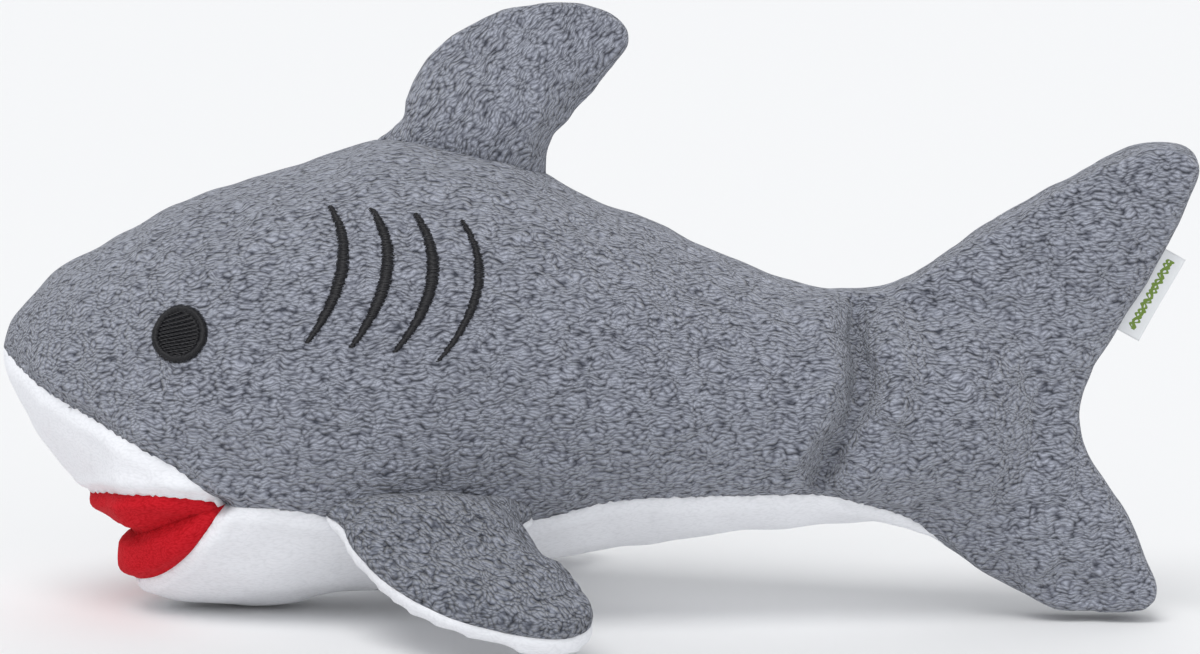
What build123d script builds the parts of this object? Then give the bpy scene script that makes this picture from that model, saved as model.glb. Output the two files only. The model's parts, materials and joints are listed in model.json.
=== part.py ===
from build123d import *

import math
import os

# A plush shark, 360 mm from nose to tail, that lies on its belly on a table. Millimetres, +Z up.
# It heads towards -X, so its left side is at -Y. The origin is on the table, below the middle of its box.
# Sewn panels of pile fabric wrap a core of fibre filling. The tail, the dorsal fin, the two pectoral
# fins and the sewn label bend at their seams, and each of them is a body of its own.

# ---- Overall sizes
body_length = 360.0
back_height = 143.0
body_width = 104.0
tail_height = 143.0

# ---- Cloth and clearances
fabric = 2.0  # one panel with its pile
raised = 0.7  # how far embroidery stands above the cloth
gap = 1.2  # between pieces that move against each other
root_stand_off = 0.7  # share of a fin root's radius that stands out of the body, so that the fin can swing
far = 500.0  # larger than the toy, for the spaces that cut it

# ---- Tail
tail_bend = 0.655  # share of the length
tail_bend_room = 1.12  # radius of the joint between trunk and tail, over the half width there
tail_root_thickness = 50.0
tail_end_thickness = 20.0
tail_rim = 6.0
tail_tip_radius = 10.0

# ---- Dorsal fin
dorsal_front = 0.329  # share of the length
dorsal_chord = 47.0
dorsal_height = 48.0
dorsal_sweep = 15.0
dorsal_thickness = 18.0

# ---- Pectoral fins
pectoral_front = 0.290  # share of the length
pectoral_level = 0.225  # share of the body's height at that place
pectoral_chord = 55.0
pectoral_span = 60.0
pectoral_sweep = 15.0
pectoral_droop = 22.0  # degrees below level
pectoral_thickness = 16.0
fin_rim = 6.0
fin_tip_radius = 10.0

# ---- Embroidery
eye_diameter = 17.0
eye_place = 0.161  # share of the length
eye_level = 0.685  # share of the body's height at that place
eye_turn = 24.0  # the head narrows towards the nose, so the eye looks forwards by this angle
gill_count = 4
gill_front = 0.279  # share of the length
gill_pitch = 12.6
gill_level = 0.735  # share of the body's height, at the middle of the stripes
gill_height = 37.5
gill_width = 4.2
gill_bulge = 6.5
gill_lean = 5.0

# ---- Label
label_length = 28.0
label_reach = 7.5
label_cloth = 0.4
label_thickness = 1.6
label_place = 0.55  # share of the upper lobe's rear edge, from its tip to the notch

# Along the body: share of the length, then the top and bottom lines as shares of the back height,
# then the share of the body's width.
body_sections = [
    (0.001, 0.560, 0.485, 0.10),
    (0.022, 0.630, 0.362, 0.31),
    (0.047, 0.703, 0.290, 0.49),
    (0.085, 0.762, 0.205, 0.66),
    (0.112, 0.800, 0.032, 0.76),
    (0.150, 0.855, -0.012, 0.86),
    (0.210, 0.910, -0.018, 0.95),
    (0.285, 0.968, 0.022, 1.00),
    (0.340, 1.000, 0.048, 1.00),
    (0.430, 0.945, 0.080, 0.93),
    (0.520, 0.838, 0.122, 0.80),
    (0.610, 0.742, 0.156, 0.64),
    (0.690, 0.685, 0.175, 0.52),
    (0.770, 0.725, 0.165, 0.40),
    (0.860, 0.700, 0.200, 0.20),
]

# The white cloth's upper edge from the nose to its end on the tail, as shares of length and back height.
seam_line = [
    (0.000, 0.530),
    (0.060, 0.430),
    (0.125, 0.335),
    (0.199, 0.254),
    (0.250, 0.252),
    (0.450, 0.220),
    (0.525, 0.262),
    (0.650, 0.268),
    (0.735, 0.235),
    (0.790, 0.150),
]
mouth_corner = (0.199, 0.252)
upper_lip_front = (0.074, 0.212)
mouth_fold_front = (0.090, 0.150)
lower_lip_front = (0.100, 0.050)
lower_lip_bend = (0.150, 0.120)


def along(share):
    """X of the place that is this share of the length behind the nose."""
    return body_length * (share - 0.5)


def up(share):
    """Z of the place that is this share of the back height above the table."""
    return back_height * share


def place(point):
    """X and Z of a point given by its two shares."""
    return (along(point[0]), up(point[1]))


def body_at(x):
    """Middle height, half height and half width of the body's oval section at this X."""
    share = x / body_length + 0.5
    for before, after in zip(body_sections, body_sections[1:]):
        if share <= after[0]:
            break
    part_way = (share - before[0]) / (after[0] - before[0])
    top, bottom, width = [a + (b - a) * part_way for a, b in zip(before[1:], after[1:])]
    return up(top + bottom) / 2, up(top - bottom) / 2, body_width * width / 2


def height_at(x, level):
    """Z of a level on the body, from 0 at its bottom line to 1 at its top line."""
    middle, tall, wide = body_at(x)
    return middle + tall * (2 * level - 1)


def side_at(x, z):
    """Half width of the body at this X and this height."""
    middle, tall, wide = body_at(x)
    return wide * math.sqrt(1 - ((z - middle) / tall) ** 2)


def trunk_loft(inset):
    """The body from the nose to inside the tail, straight from oval to oval, taken in by inset.

    A lining starts at the second oval, which leaves the tip of the nose solid cloth.
    """
    sections = body_sections[1:] if inset > 0 else body_sections
    with BuildPart() as body:
        for share, top, bottom, width in sections:
            tall = up(top - bottom) / 2 - inset
            wide = body_width * width / 2 - inset
            oval = Plane(origin=(along(share), 0, up(top + bottom) / 2), x_dir=(0, 1, 0), z_dir=(1, 0, 0))
            with BuildSketch(oval):
                Ellipse(wide, tall)
        loft(ruled=True)
    return body.part


# The tail's side outline, clockwise from the top of its root. The root follows the back's height.
upper_tip = (along(1.018), tail_height * 1.004)
tail_notch = (along(0.898), tail_height * 0.435)
tail_outline = [
    (along(0.700), up(0.660)),
    (along(0.750), up(0.700)),
    (along(0.930), tail_height * 0.980),
    upper_tip,
    tail_notch,
    (along(0.980), 0.0),
    (along(0.905), 0.0),
    (along(0.790), up(0.145)),
    (along(0.700), up(0.185)),
]
tail_corner_radii = [1.0, 40.0, 40.0, tail_tip_radius, tail_tip_radius, tail_tip_radius, 30.0, 40.0, 1.0]


def tail_lobes(inset):
    """Both tail lobes as one cushion that thins towards its tips, taken in by inset."""
    root_half = tail_root_thickness / 2 - inset
    end_half = tail_end_thickness / 2 - inset
    front = along(0.65)
    rear = along(1.05)
    with BuildPart() as lobes:
        with BuildSketch(Plane.XZ):
            with BuildLine():
                FilletPolyline(*tail_outline, radius=tail_corner_radii, close=True)
            make_face()
            offset(amount=-inset, kind=Kind.INTERSECTION)
        extrude(amount=far, both=True)
        with BuildSketch(Plane.XY):
            with BuildLine():
                Polyline(
                    (front, root_half),
                    (rear, end_half),
                    (rear, -end_half),
                    (front, -root_half),
                    close=True,
                )
            make_face()
        extrude(amount=far, both=True, mode=Mode.INTERSECT)
        sides = lobes.faces().sort_by(Axis.Y)
        fillet(sides[0].edges() + sides[-1].edges(), radius=tail_rim - inset)
    return lobes.part


def whole_body(inset):
    """Trunk and tail together, with the belly flat on the table, taken in by inset."""
    with BuildPart() as whole:
        add(trunk_loft(inset))
        add(tail_lobes(inset))
        with BuildSketch(Plane.XY.offset(inset)):
            Rectangle(far, far)
        extrude(amount=far, mode=Mode.INTERSECT)
    return whole.part


os.makedirs("parts", exist_ok=True)
outer = whole_body(0)
lining = whole_body(fabric)


# ---- Joint between trunk and tail: the trunk's end is round about an upright axis
bend_x = along(tail_bend)
bend_radius = body_at(bend_x)[2] * tail_bend_room


def trunk_space(extra):
    """Everything in front of the bend, with the trunk's rounded end made larger by extra."""
    with BuildPart() as space:
        with BuildSketch(Plane.XY):
            with Locations((bend_x - far / 2, 0)):
                Rectangle(far, far)
            with Locations((bend_x, 0)):
                Circle(bend_radius + extra)
        extrude(amount=far, both=True)
    return space.part


# ---- Fins: each is a flat cushion on a round root, which turns in a groove in the body
def fin(plane, outline, corner_radii, thickness, inset):
    """A fin in its plane, its root along local X from the origin, taken in by inset."""
    half = thickness / 2 - inset
    chord = outline[-1][0]
    with BuildPart() as blade:
        with BuildSketch(plane) as side:
            with BuildLine():
                Polyline(*outline, close=True)
            make_face()
            for corner, radius in zip(outline[1:-1], corner_radii):
                fillet(side.vertices().sort_by_distance(corner)[0], radius=radius)
            offset(amount=-inset, kind=Kind.INTERSECTION)
        extrude(amount=half, both=True)
        flats = blade.faces().filter_by(lambda face: abs(face.normal_at().dot(plane.z_dir)) > 0.99)
        edges = flats.edges()
        root = edges.filter_by(lambda edge: abs(plane.to_local_coords(edge.center()).Y - inset) < 0.01)
        fillet(edges - root, radius=fin_rim - inset)
        start = plane.origin + plane.x_dir * inset
        with BuildSketch(Plane(origin=start, x_dir=plane.y_dir, z_dir=plane.x_dir)):
            Circle(half)
        extrude(amount=chord - 2 * inset)
    return blade.part


def fin_groove(plane, chord, thickness):
    """The space in which a fin's root turns."""
    start = plane.origin - plane.x_dir * gap
    with BuildPart() as groove:
        with BuildSketch(Plane(origin=start, x_dir=plane.y_dir, z_dir=plane.x_dir)):
            Circle(thickness / 2 + gap)
        extrude(amount=chord + 2 * gap)
    return groove.part


def root_plane(first, last, away, thickness):
    """A fin's plane: its root runs from first to last, moved out of the body, and the fin points away."""
    rearwards = (last - first).normalized()
    outwards = (away - rearwards * away.dot(rearwards)).normalized()
    return Plane(
        origin=first + outwards * (root_stand_off * thickness / 2),
        x_dir=rearwards,
        z_dir=rearwards.cross(outwards),
    )


dorsal_ends = [along(dorsal_front), along(dorsal_front) + dorsal_chord]
dorsal_seats = [Vector(x, 0, height_at(x, 1)) for x in dorsal_ends]
dorsal_plane = root_plane(*dorsal_seats, Vector(0, 0, 1), dorsal_thickness)
dorsal_outline = [
    (0, 0),
    (dorsal_height * 0.45, dorsal_height * 0.80),
    (dorsal_chord + dorsal_sweep, dorsal_height * 1.05),
    (dorsal_chord, 0),
]
dorsal_radii = [45.0, fin_tip_radius]

pectoral_ends = [along(pectoral_front), along(pectoral_front) + pectoral_chord]
pectoral_z = height_at(pectoral_ends[0], pectoral_level)
pectoral_seats = [Vector(x, -side_at(x, pectoral_z), pectoral_z) for x in pectoral_ends]
droop = math.radians(pectoral_droop)
pectoral_away = Vector(0, -math.cos(droop), -math.sin(droop))
pectoral_plane = root_plane(*pectoral_seats, pectoral_away, pectoral_thickness)
pectoral_outline = [
    (0, 0),
    (pectoral_chord * 0.35, pectoral_span * 0.85),
    (pectoral_chord * 0.75, pectoral_span * 1.02),
    (pectoral_chord + pectoral_sweep, pectoral_span * 1.02),
    (pectoral_chord, 0),
]
pectoral_radii = [40.0, 15.0, fin_tip_radius]

with BuildPart() as grooves:
    add(fin_groove(dorsal_plane, dorsal_chord, dorsal_thickness))
    add(fin_groove(pectoral_plane, pectoral_chord, pectoral_thickness))
    mirror(about=Plane.XZ)

# ---- The cloth cover, before it is cut along its seams
with BuildPart() as cover:
    add(outer)
    add(lining, mode=Mode.SUBTRACT)
    add(grooves.part, mode=Mode.SUBTRACT)

trunk_end = trunk_space(0)
tail_start = trunk_space(gap)

# ---- The cloth is cut along lines that are drawn on the side of the toy
ahead = along(-0.2)
behind = along(1.2)
corner = place(mouth_corner)


def below(line):
    """The space under a line of X and Z points."""
    with BuildPart() as space:
        with BuildSketch(Plane.XZ):
            with BuildLine():
                Polyline(*line, (line[-1][0], -far), (line[0][0], -far), close=True)
            make_face()
        extrude(amount=far, both=True)
    return space.part


def mouth_line(front):
    """A line from the corner of the mouth through a point at its front and on past the nose."""
    x, z = place(front)
    slope = (corner[1] - z) / (corner[0] - x)
    return [(ahead, z - slope * (x - ahead)), corner]


seam = [place(point) for point in seam_line]
below_seam = below([(ahead, seam[0][1]), *seam, (behind, seam[-1][1])])
below_upper_lip = below(mouth_line(upper_lip_front))
below_mouth_fold = below(mouth_line(mouth_fold_front))
below_lower_lip = below([(ahead, 0), place(lower_lip_front), place(lower_lip_bend), corner])
before_corner = below([(ahead, far), (corner[0], far)])

with BuildPart() as trunk_cover:
    add(cover.part)
    add(trunk_end, mode=Mode.INTERSECT)

with BuildPart() as tail_cover:
    add(cover.part)
    add(tail_start, mode=Mode.SUBTRACT)

# ---- Grey back cloth, a left and a right half that meet along the back
with BuildPart() as body_panel_left:
    add(trunk_cover.part)
    add(below_seam, mode=Mode.SUBTRACT)
    split(bisect_by=Plane.XZ, keep=Keep.TOP)
body_panel_left.part.label = "body_panel_left"
export_step(body_panel_left.part, "parts/body_panel_left.step")

with BuildPart() as body_panel_right:
    add(body_panel_left.part)
    mirror(about=Plane.XZ, mode=Mode.REPLACE)
body_panel_right.part.label = "body_panel_right"
export_step(body_panel_right.part, "parts/body_panel_right.step")

with BuildPart() as tail_panel_left:
    add(tail_cover.part)
    add(below_seam, mode=Mode.SUBTRACT)
    split(bisect_by=Plane.XZ, keep=Keep.TOP)
tail_panel_left.part.label = "tail_panel_left"
export_step(tail_panel_left.part, "parts/tail_panel_left.step")

with BuildPart() as tail_panel_right:
    add(tail_panel_left.part)
    mirror(about=Plane.XZ, mode=Mode.REPLACE)
tail_panel_right.part.label = "tail_panel_right"
export_step(tail_panel_right.part, "parts/tail_panel_right.step")

# ---- White cloth under the snout, the belly and the start of the tail
with BuildPart() as lower_cover:
    add(trunk_cover.part)
    add(below_seam, mode=Mode.INTERSECT)

with BuildPart() as snout_underside:
    add(lower_cover.part)
    add(before_corner, mode=Mode.INTERSECT)
    add(below_upper_lip, mode=Mode.SUBTRACT)
snout_underside.part.label = "snout_underside"
export_step(snout_underside.part, "parts/snout_underside.step")

with BuildPart() as mouth_space:
    add(below_upper_lip)
    add(below_lower_lip, mode=Mode.SUBTRACT)

with BuildPart() as belly_panel:
    add(lower_cover.part)
    add(snout_underside.part, mode=Mode.SUBTRACT)
    add(mouth_space.part, mode=Mode.SUBTRACT)
belly_panel.part.label = "belly_panel"
export_step(belly_panel.part, "parts/belly_panel.step")

with BuildPart() as tail_underside:
    add(tail_cover.part)
    add(below_seam, mode=Mode.INTERSECT)
tail_underside.part.label = "tail_underside"
export_step(tail_underside.part, "parts/tail_underside.step")

# ---- Red mouth lining, an upper and a lower half that meet at the fold
with BuildPart() as mouth_upper:
    add(lower_cover.part)
    add(below_upper_lip, mode=Mode.INTERSECT)
    add(below_mouth_fold, mode=Mode.SUBTRACT)
mouth_upper.part.label = "mouth_upper"
export_step(mouth_upper.part, "parts/mouth_upper.step")

with BuildPart() as mouth_lower:
    add(lower_cover.part)
    add(below_mouth_fold, mode=Mode.INTERSECT)
    add(below_lower_lip, mode=Mode.SUBTRACT)
mouth_lower.part.label = "mouth_lower"
export_step(mouth_lower.part, "parts/mouth_lower.step")

# ---- Fibre filling, which fills the cover behind the cloth
with BuildPart() as body_filling:
    add(lining)
    add(trunk_end, mode=Mode.INTERSECT)
    add(grooves.part, mode=Mode.SUBTRACT)
body_filling.part.label = "body_filling"
export_step(body_filling.part, "parts/body_filling.step")

with BuildPart() as tail_filling:
    add(lining)
    add(tail_start, mode=Mode.SUBTRACT)
tail_filling.part.label = "tail_filling"
export_step(tail_filling.part, "parts/tail_filling.step")

# ---- Dorsal fin: two grey panels that meet at its edge, round their own filling
dorsal_sizes = (dorsal_plane, dorsal_outline, dorsal_radii, dorsal_thickness)

with BuildPart() as dorsal_fin_filling:
    add(fin(*dorsal_sizes, fabric))
dorsal_fin_filling.part.label = "dorsal_fin_filling"
export_step(dorsal_fin_filling.part, "parts/dorsal_fin_filling.step")

with BuildPart() as dorsal_fin_panel_left:
    add(fin(*dorsal_sizes, 0))
    add(dorsal_fin_filling.part, mode=Mode.SUBTRACT)
    split(bisect_by=Plane.XZ, keep=Keep.TOP)
dorsal_fin_panel_left.part.label = "dorsal_fin_panel_left"
export_step(dorsal_fin_panel_left.part, "parts/dorsal_fin_panel_left.step")

with BuildPart() as dorsal_fin_panel_right:
    add(dorsal_fin_panel_left.part)
    mirror(about=Plane.XZ, mode=Mode.REPLACE)
dorsal_fin_panel_right.part.label = "dorsal_fin_panel_right"
export_step(dorsal_fin_panel_right.part, "parts/dorsal_fin_panel_right.step")

# ---- Pectoral fins: grey above and white below, round a filling; the right fin mirrors the left
pectoral_sizes = (pectoral_plane, pectoral_outline, pectoral_radii, pectoral_thickness)

with BuildPart() as pectoral_filling:
    add(fin(*pectoral_sizes, fabric))

with BuildPart() as pectoral_cover:
    add(fin(*pectoral_sizes, 0))
    add(pectoral_filling.part, mode=Mode.SUBTRACT)

pectoral_pieces = {"filling": pectoral_filling.part}
for name, side in (("upper", Keep.BOTTOM), ("lower", Keep.TOP)):
    with BuildPart() as pectoral_panel:
        add(pectoral_cover.part)
        split(bisect_by=pectoral_plane, keep=side)
    pectoral_pieces[name] = pectoral_panel.part

for name, piece in pectoral_pieces.items():
    for side in ("left", "right"):
        with BuildPart() as pectoral_piece:
            add(piece)
            if side == "right":
                mirror(about=Plane.XZ, mode=Mode.REPLACE)
        node = f"pectoral_{side}_{name}"
        pectoral_piece.part.label = node
        export_step(pectoral_piece.part, f"parts/{node}.step")

# ---- Embroidery: patches of black satin stitch that stand just above the cloth
with BuildPart() as thread_layer:
    add(trunk_loft(-raised))
    add(outer, mode=Mode.SUBTRACT)
    split(bisect_by=Plane.XZ, keep=Keep.TOP)


def patch(outline_space):
    """The part of the thread layer that lies in this space."""
    with BuildPart() as stitches:
        add(thread_layer.part)
        add(outline_space, mode=Mode.INTERSECT)
    return stitches.part


turn = math.radians(eye_turn)
eye_x = along(eye_place)
eye_look = Vector(-math.sin(turn), -math.cos(turn), 0)
eye_z = height_at(eye_x, eye_level)
eye_centre = Vector(eye_x, -side_at(eye_x, eye_z) + eye_diameter / 2, eye_z)
with BuildPart() as eye_space:
    with BuildSketch(Plane(origin=eye_centre, z_dir=eye_look)):
        Circle(eye_diameter / 2)
    extrude(amount=far)

patches = {"eye": patch(eye_space.part)}
for number in range(gill_count):
    x = along(gill_front) + number * gill_pitch
    z = height_at(x, gill_level)
    top = (x + gill_lean / 2, z + gill_height / 2)
    bottom = (x - gill_lean / 2, z - gill_height / 2)
    with BuildPart() as gill_space:
        with BuildSketch(Plane.XZ):
            with BuildLine():
                ThreePointArc(top, (x + gill_bulge + gill_width / 2, z), bottom)
                ThreePointArc(bottom, (x + gill_bulge - gill_width / 2, z), top)
            make_face()
        extrude(amount=far)
    patches[f"gill_{number + 1}"] = patch(gill_space.part)

for name, stitches in patches.items():
    for side in ("left", "right"):
        with BuildPart() as embroidery:
            add(stitches)
            if side == "right":
                mirror(about=Plane.XZ, mode=Mode.REPLACE)
        node = name.replace("_", f"_{side}_") if "_" in name else f"{name}_{side}"
        embroidery.part.label = node
        export_step(embroidery.part, f"parts/{node}.step")

# ---- Label: a flat loop of satin ribbon, sewn into the rear edge of the tail's upper lobe
lobe_edge = Vector(tail_notch[0] - upper_tip[0], 0, tail_notch[1] - upper_tip[1])
edge_way = lobe_edge.normalized()
label_out = edge_way.cross(Vector(0, 1, 0))
label_root = Vector(upper_tip[0], 0, upper_tip[1]) + lobe_edge * label_place + label_out * gap
label_start = label_root - edge_way * (label_length / 2)
with BuildPart() as label:
    with BuildSketch(Plane(origin=label_start, x_dir=label_out, z_dir=edge_way)):
        with Locations((label_reach / 2, 0)):
            SlotOverall(label_reach, label_thickness)
            SlotOverall(
                label_reach - 2 * label_cloth,
                label_thickness - 2 * label_cloth,
                mode=Mode.SUBTRACT,
            )
    extrude(amount=label_length)
label.part.label = "label"
export_step(label.part, "parts/label.step")
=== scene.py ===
# %% [markdown]
# A plush shark is a bag of short-pile cloth, sewn from flat panels and stuffed with fibre. Nothing in
# it is rigid, so its look comes from three things: the soft outline that the filling gives, the valleys
# where seams and creases hold the cloth in, and the nap of the pile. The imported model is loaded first,
# because it fixes every size and every body that moves.
# %% Load the frame
import math
import bmesh
import bpy
import numpy as np
from mathutils import Matrix, Vector
from mathutils.bvhtree import BVHTree
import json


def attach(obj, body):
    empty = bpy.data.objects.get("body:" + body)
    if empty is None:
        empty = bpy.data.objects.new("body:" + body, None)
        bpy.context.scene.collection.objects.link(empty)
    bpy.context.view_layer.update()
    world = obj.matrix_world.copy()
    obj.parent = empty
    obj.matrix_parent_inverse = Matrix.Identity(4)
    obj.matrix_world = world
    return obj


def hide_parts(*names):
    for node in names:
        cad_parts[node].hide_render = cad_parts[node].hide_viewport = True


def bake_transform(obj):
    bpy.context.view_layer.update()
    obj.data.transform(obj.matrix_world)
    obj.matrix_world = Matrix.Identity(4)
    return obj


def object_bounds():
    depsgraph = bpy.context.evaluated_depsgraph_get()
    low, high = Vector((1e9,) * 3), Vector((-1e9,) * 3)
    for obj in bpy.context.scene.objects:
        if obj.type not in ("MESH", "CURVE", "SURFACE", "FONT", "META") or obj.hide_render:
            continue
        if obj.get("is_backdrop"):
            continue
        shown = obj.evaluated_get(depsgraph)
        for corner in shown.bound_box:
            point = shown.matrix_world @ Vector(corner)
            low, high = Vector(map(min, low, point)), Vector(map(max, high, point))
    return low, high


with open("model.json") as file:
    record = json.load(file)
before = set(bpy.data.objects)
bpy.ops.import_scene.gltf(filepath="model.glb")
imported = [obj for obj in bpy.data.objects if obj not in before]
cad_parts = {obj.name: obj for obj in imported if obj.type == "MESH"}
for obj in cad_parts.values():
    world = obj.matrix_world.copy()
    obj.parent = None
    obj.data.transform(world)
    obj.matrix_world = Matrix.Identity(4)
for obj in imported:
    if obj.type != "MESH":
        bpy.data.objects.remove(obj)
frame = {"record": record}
cad_low, cad_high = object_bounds()
bpy.ops.object.select_all(action="DESELECT")
MM = 0.001
LENGTH = cad_high[0] - cad_low[0]
NOSE_X = cad_low[0]

# %% [markdown]
# The toy is drawn from the side, as its maker would draw it: a place along the body is a share of the
# length behind the nose, and heights are in millimetres above the table. A line through a few such
# points is rounded by a Catmull-Rom spline, which passes through each point and needs no handles.
# %% Lines and places
def along(share):
    return NOSE_X + LENGTH * share


def spline(points, count, closed=False):
    """Count places on a smooth line through the points."""
    points = np.array(points, float)
    if closed:
        before, after = points[-1:], points[:2]
    else:
        before, after = 2 * points[:1] - points[1:2], 2 * points[-1:] - points[-2:-1]
    padded_points = np.vstack([before, points, after])
    spans = len(points) if closed else len(points) - 1
    places = []
    for step in np.linspace(0, spans, count, endpoint=not closed):
        index = min(int(step), spans - 1)
        t = step - index
        a, b, c, d = padded_points[index:index + 4]
        square, cube = 2 * a - 5 * b + 4 * c - d, 3 * b - a - 3 * c + d
        places.append(0.5 * (2 * b + (c - a) * t + square * t**2 + cube * t**3))
    return np.array(places)


def side_line(points, count=160):
    """A smooth line on the side of the toy, from shares of length and millimetres of height, in metres."""
    line = spline(points, count)
    return np.column_stack([along(line[:, 0]), line[:, 1] * MM])


# %% [markdown]
# The trunk is close to a stack of ovals. A UV sphere has the right grid for it: its rings become the
# ovals, and its poles become the nose and the end inside the tail. Each ring is given a top line, a
# bottom line and a half width. Rings are spaced by the square root of the length, which crowds them
# at the nose and makes it round.
# %% Trunk
TRUNK = [  # share of length, top, bottom and half width in millimetres
    (0.000, 75.5, 75.5, 0.0),
    (0.006, 85.0, 66.0, 9.0),
    (0.022, 91.5, 53.5, 16.5),
    (0.047, 100.8, 42.6, 24.5),
    (0.081, 108.4, 30.8, 32.0),
    (0.097, 111.4, 23.0, 35.5),
    (0.103, 112.5, 14.0, 36.8),
    (0.109, 113.6, 8.8, 38.0),
    (0.120, 115.8, 5.2, 39.8),
    (0.150, 121.8, 0.6, 43.8),
    (0.210, 129.8, 0.3, 48.6),
    (0.285, 138.4, 3.8, 51.0),
    (0.322, 142.6, 5.2, 51.0),
    (0.370, 140.4, 7.5, 50.0),
    (0.430, 135.4, 11.0, 47.6),
    (0.520, 121.4, 17.0, 41.2),
    (0.610, 108.4, 21.6, 33.4),
    (0.690, 99.6, 24.6, 27.4),
    (0.770, 97.6, 26.0, 21.5),
    (0.850, 88.0, 32.0, 12.0),
    (0.880, 62.0, 58.0, 0.0),
]
RINGS = 150
AROUND = 128


def trunk_section(share):
    """Top, bottom and half width at a share of the length, smooth between the rows of the table."""
    rows = np.array(TRUNK)
    at = np.sqrt(rows[:, 0])
    slope = np.gradient(rows[:, 1:], at, axis=0)
    place = np.clip(np.sqrt(share), at[0], at[-1])
    index = int(np.clip(np.searchsorted(at, place) - 1, 0, len(at) - 2))
    width = at[index + 1] - at[index]
    t = (place - at[index]) / width
    a, b = rows[index, 1:], rows[index + 1, 1:]
    return ((2 * t**3 - 3 * t**2 + 1) * a + (t**3 - 2 * t**2 + t) * width * slope[index]
            + (3 * t**2 - 2 * t**3) * b + (t**3 - t**2) * width * slope[index + 1])


bpy.ops.mesh.primitive_uv_sphere_add(segments=AROUND, ring_count=RINGS, radius=1)
trunk = bpy.context.object
trunk.name = "trunk_form"
places = np.array([v.co for v in trunk.data.vertices])
shares = TRUNK[-1][0] * ((1 - places[:, 2]) / 2) ** 1.35
shaped = []
for (x, y, z), share in zip(places, shares):
    top, bottom, half = trunk_section(share)
    ring = math.hypot(x, y) or 1.0
    height = (top + bottom) / 2 + (top - bottom) / 2 * x / ring
    shaped.append((along(share), half * MM * y / ring, height * MM))
trunk.data.vertices.foreach_set("co", np.array(shaped).ravel())
print("trunk", len(shaped), "points")

# %% [markdown]
# The tail's two lobes and the fins start as slabs cut from an outline. A circle is added, its points
# are moved to the outline, it is filled and extruded, and later the filling's pressure rounds it.
# %% Slabs cut from an outline
def select_all(piece):
    bpy.ops.object.select_all(action="DESELECT")
    piece.select_set(True)
    bpy.context.view_layer.objects.active = piece


def slab(name, outline, origin, across, upward, thickness):
    """A slab whose outline is given in millimetres along two directions from its origin, in metres."""
    points = spline(outline, 180, closed=True) * MM
    bpy.ops.mesh.primitive_circle_add(vertices=len(points), radius=1, fill_type="NGON")
    piece = bpy.context.object
    piece.name = name
    across, upward = Vector(across).normalized(), Vector(upward).normalized()
    normal = across.cross(upward)
    start = Vector(origin) - normal * thickness / 2
    for vertex, (a, b) in zip(piece.data.vertices, points):
        vertex.co = start + across * a + upward * b
    bpy.ops.object.mode_set(mode="EDIT")
    bpy.ops.mesh.select_all(action="SELECT")
    bpy.ops.mesh.extrude_region_move(TRANSFORM_OT_translate={"value": normal * thickness})
    bpy.ops.mesh.select_all(action="SELECT")
    bpy.ops.mesh.normals_make_consistent(inside=False)
    bpy.ops.object.mode_set(mode="OBJECT")
    return piece


TAIL = [  # behind the nose and above the table, in millimetres
    (236, 92), (262, 99.5), (277, 106.5), (293, 116.5), (310, 127), (327, 137), (341, 142.4),
    (351.5, 142.6), (357.3, 137.0), (353.8, 125), (347.0, 111), (339.7, 97), (332.0, 83),
    (326.3, 71.0), (324.0, 61.5), (328.5, 49), (337, 33), (345.5, 18.5), (349, 10.5), (346.5, 4),
    (338, 1.3), (326, 1.2), (314, 3.8), (302, 10.0), (290, 17.0), (277, 23.0), (262, 27.0), (236, 33),
]
TAIL_SLAB = 0.020
tail = slab("tail_form", TAIL, (NOSE_X, 0, 0), (1, 0, 0), (0, 0, 1), TAIL_SLAB)
print("tail slab", [round(v, 3) for v in tail.dimensions])

# %% [markdown]
# Filling makes sewn cloth swell between its seams. Blender's Cloth with pressure does that: the two
# forms are joined and remeshed into one skin of even squares, the skin is blown up a little while its
# edges hold together, and no point may move further than a cap, so the toy keeps its measured size.
# %% Blow up a skin
FRAMES = 20


def remesh(piece, voxel):
    select_all(piece)
    modifier = piece.modifiers.new("even squares", "REMESH")
    modifier.mode = "VOXEL"
    modifier.voxel_size = voxel
    bpy.ops.object.modifier_apply(modifier=modifier.name)


def smooth(piece, rounds, factor=0.5):
    select_all(piece)
    modifier = piece.modifiers.new("smooth", "SMOOTH")
    modifier.factor = factor
    modifier.iterations = rounds
    bpy.ops.object.modifier_apply(modifier=modifier.name)


def coordinates(piece):
    places = np.empty(len(piece.data.vertices) * 3)
    piece.data.vertices.foreach_get("co", places)
    return places.reshape(-1, 3)


def set_coordinates(piece, places):
    piece.data.vertices.foreach_set("co", places.ravel())
    piece.data.update()


def blow_up(piece, pressure, cap):
    """Swell a closed skin under pressure; no point moves further than the cap."""
    before = coordinates(piece)
    select_all(piece)
    cloth = piece.modifiers.new("filling", "CLOTH")
    settings = cloth.settings
    settings.use_pressure = True
    settings.uniform_pressure_force = pressure
    settings.effector_weights.gravity = 0
    settings.quality = 5
    settings.tension_stiffness = 12
    settings.compression_stiffness = 12
    settings.shear_stiffness = 4
    settings.bending_stiffness = 0.4
    for number in range(1, FRAMES + 1):
        bpy.context.scene.frame_set(number)
    swollen = piece.evaluated_get(bpy.context.evaluated_depsgraph_get())
    after = np.array([v.co for v in swollen.data.vertices])
    piece.modifiers.remove(cloth)
    bpy.context.scene.frame_set(1)
    move = after - before
    reach = np.linalg.norm(move, axis=1, keepdims=True)
    set_coordinates(piece, before + move * np.minimum(1, cap / np.maximum(reach, 1e-9)))
    print(piece.name, "swelled by", round(float(np.minimum(reach, cap).mean()) / MM, 2), "mm on average")


def subdivide(piece, levels=1):
    select_all(piece)
    modifier = piece.modifiers.new("finer", "SUBSURF")
    modifier.levels = levels
    modifier.render_levels = levels
    bpy.ops.object.modifier_apply(modifier=modifier.name)


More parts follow.
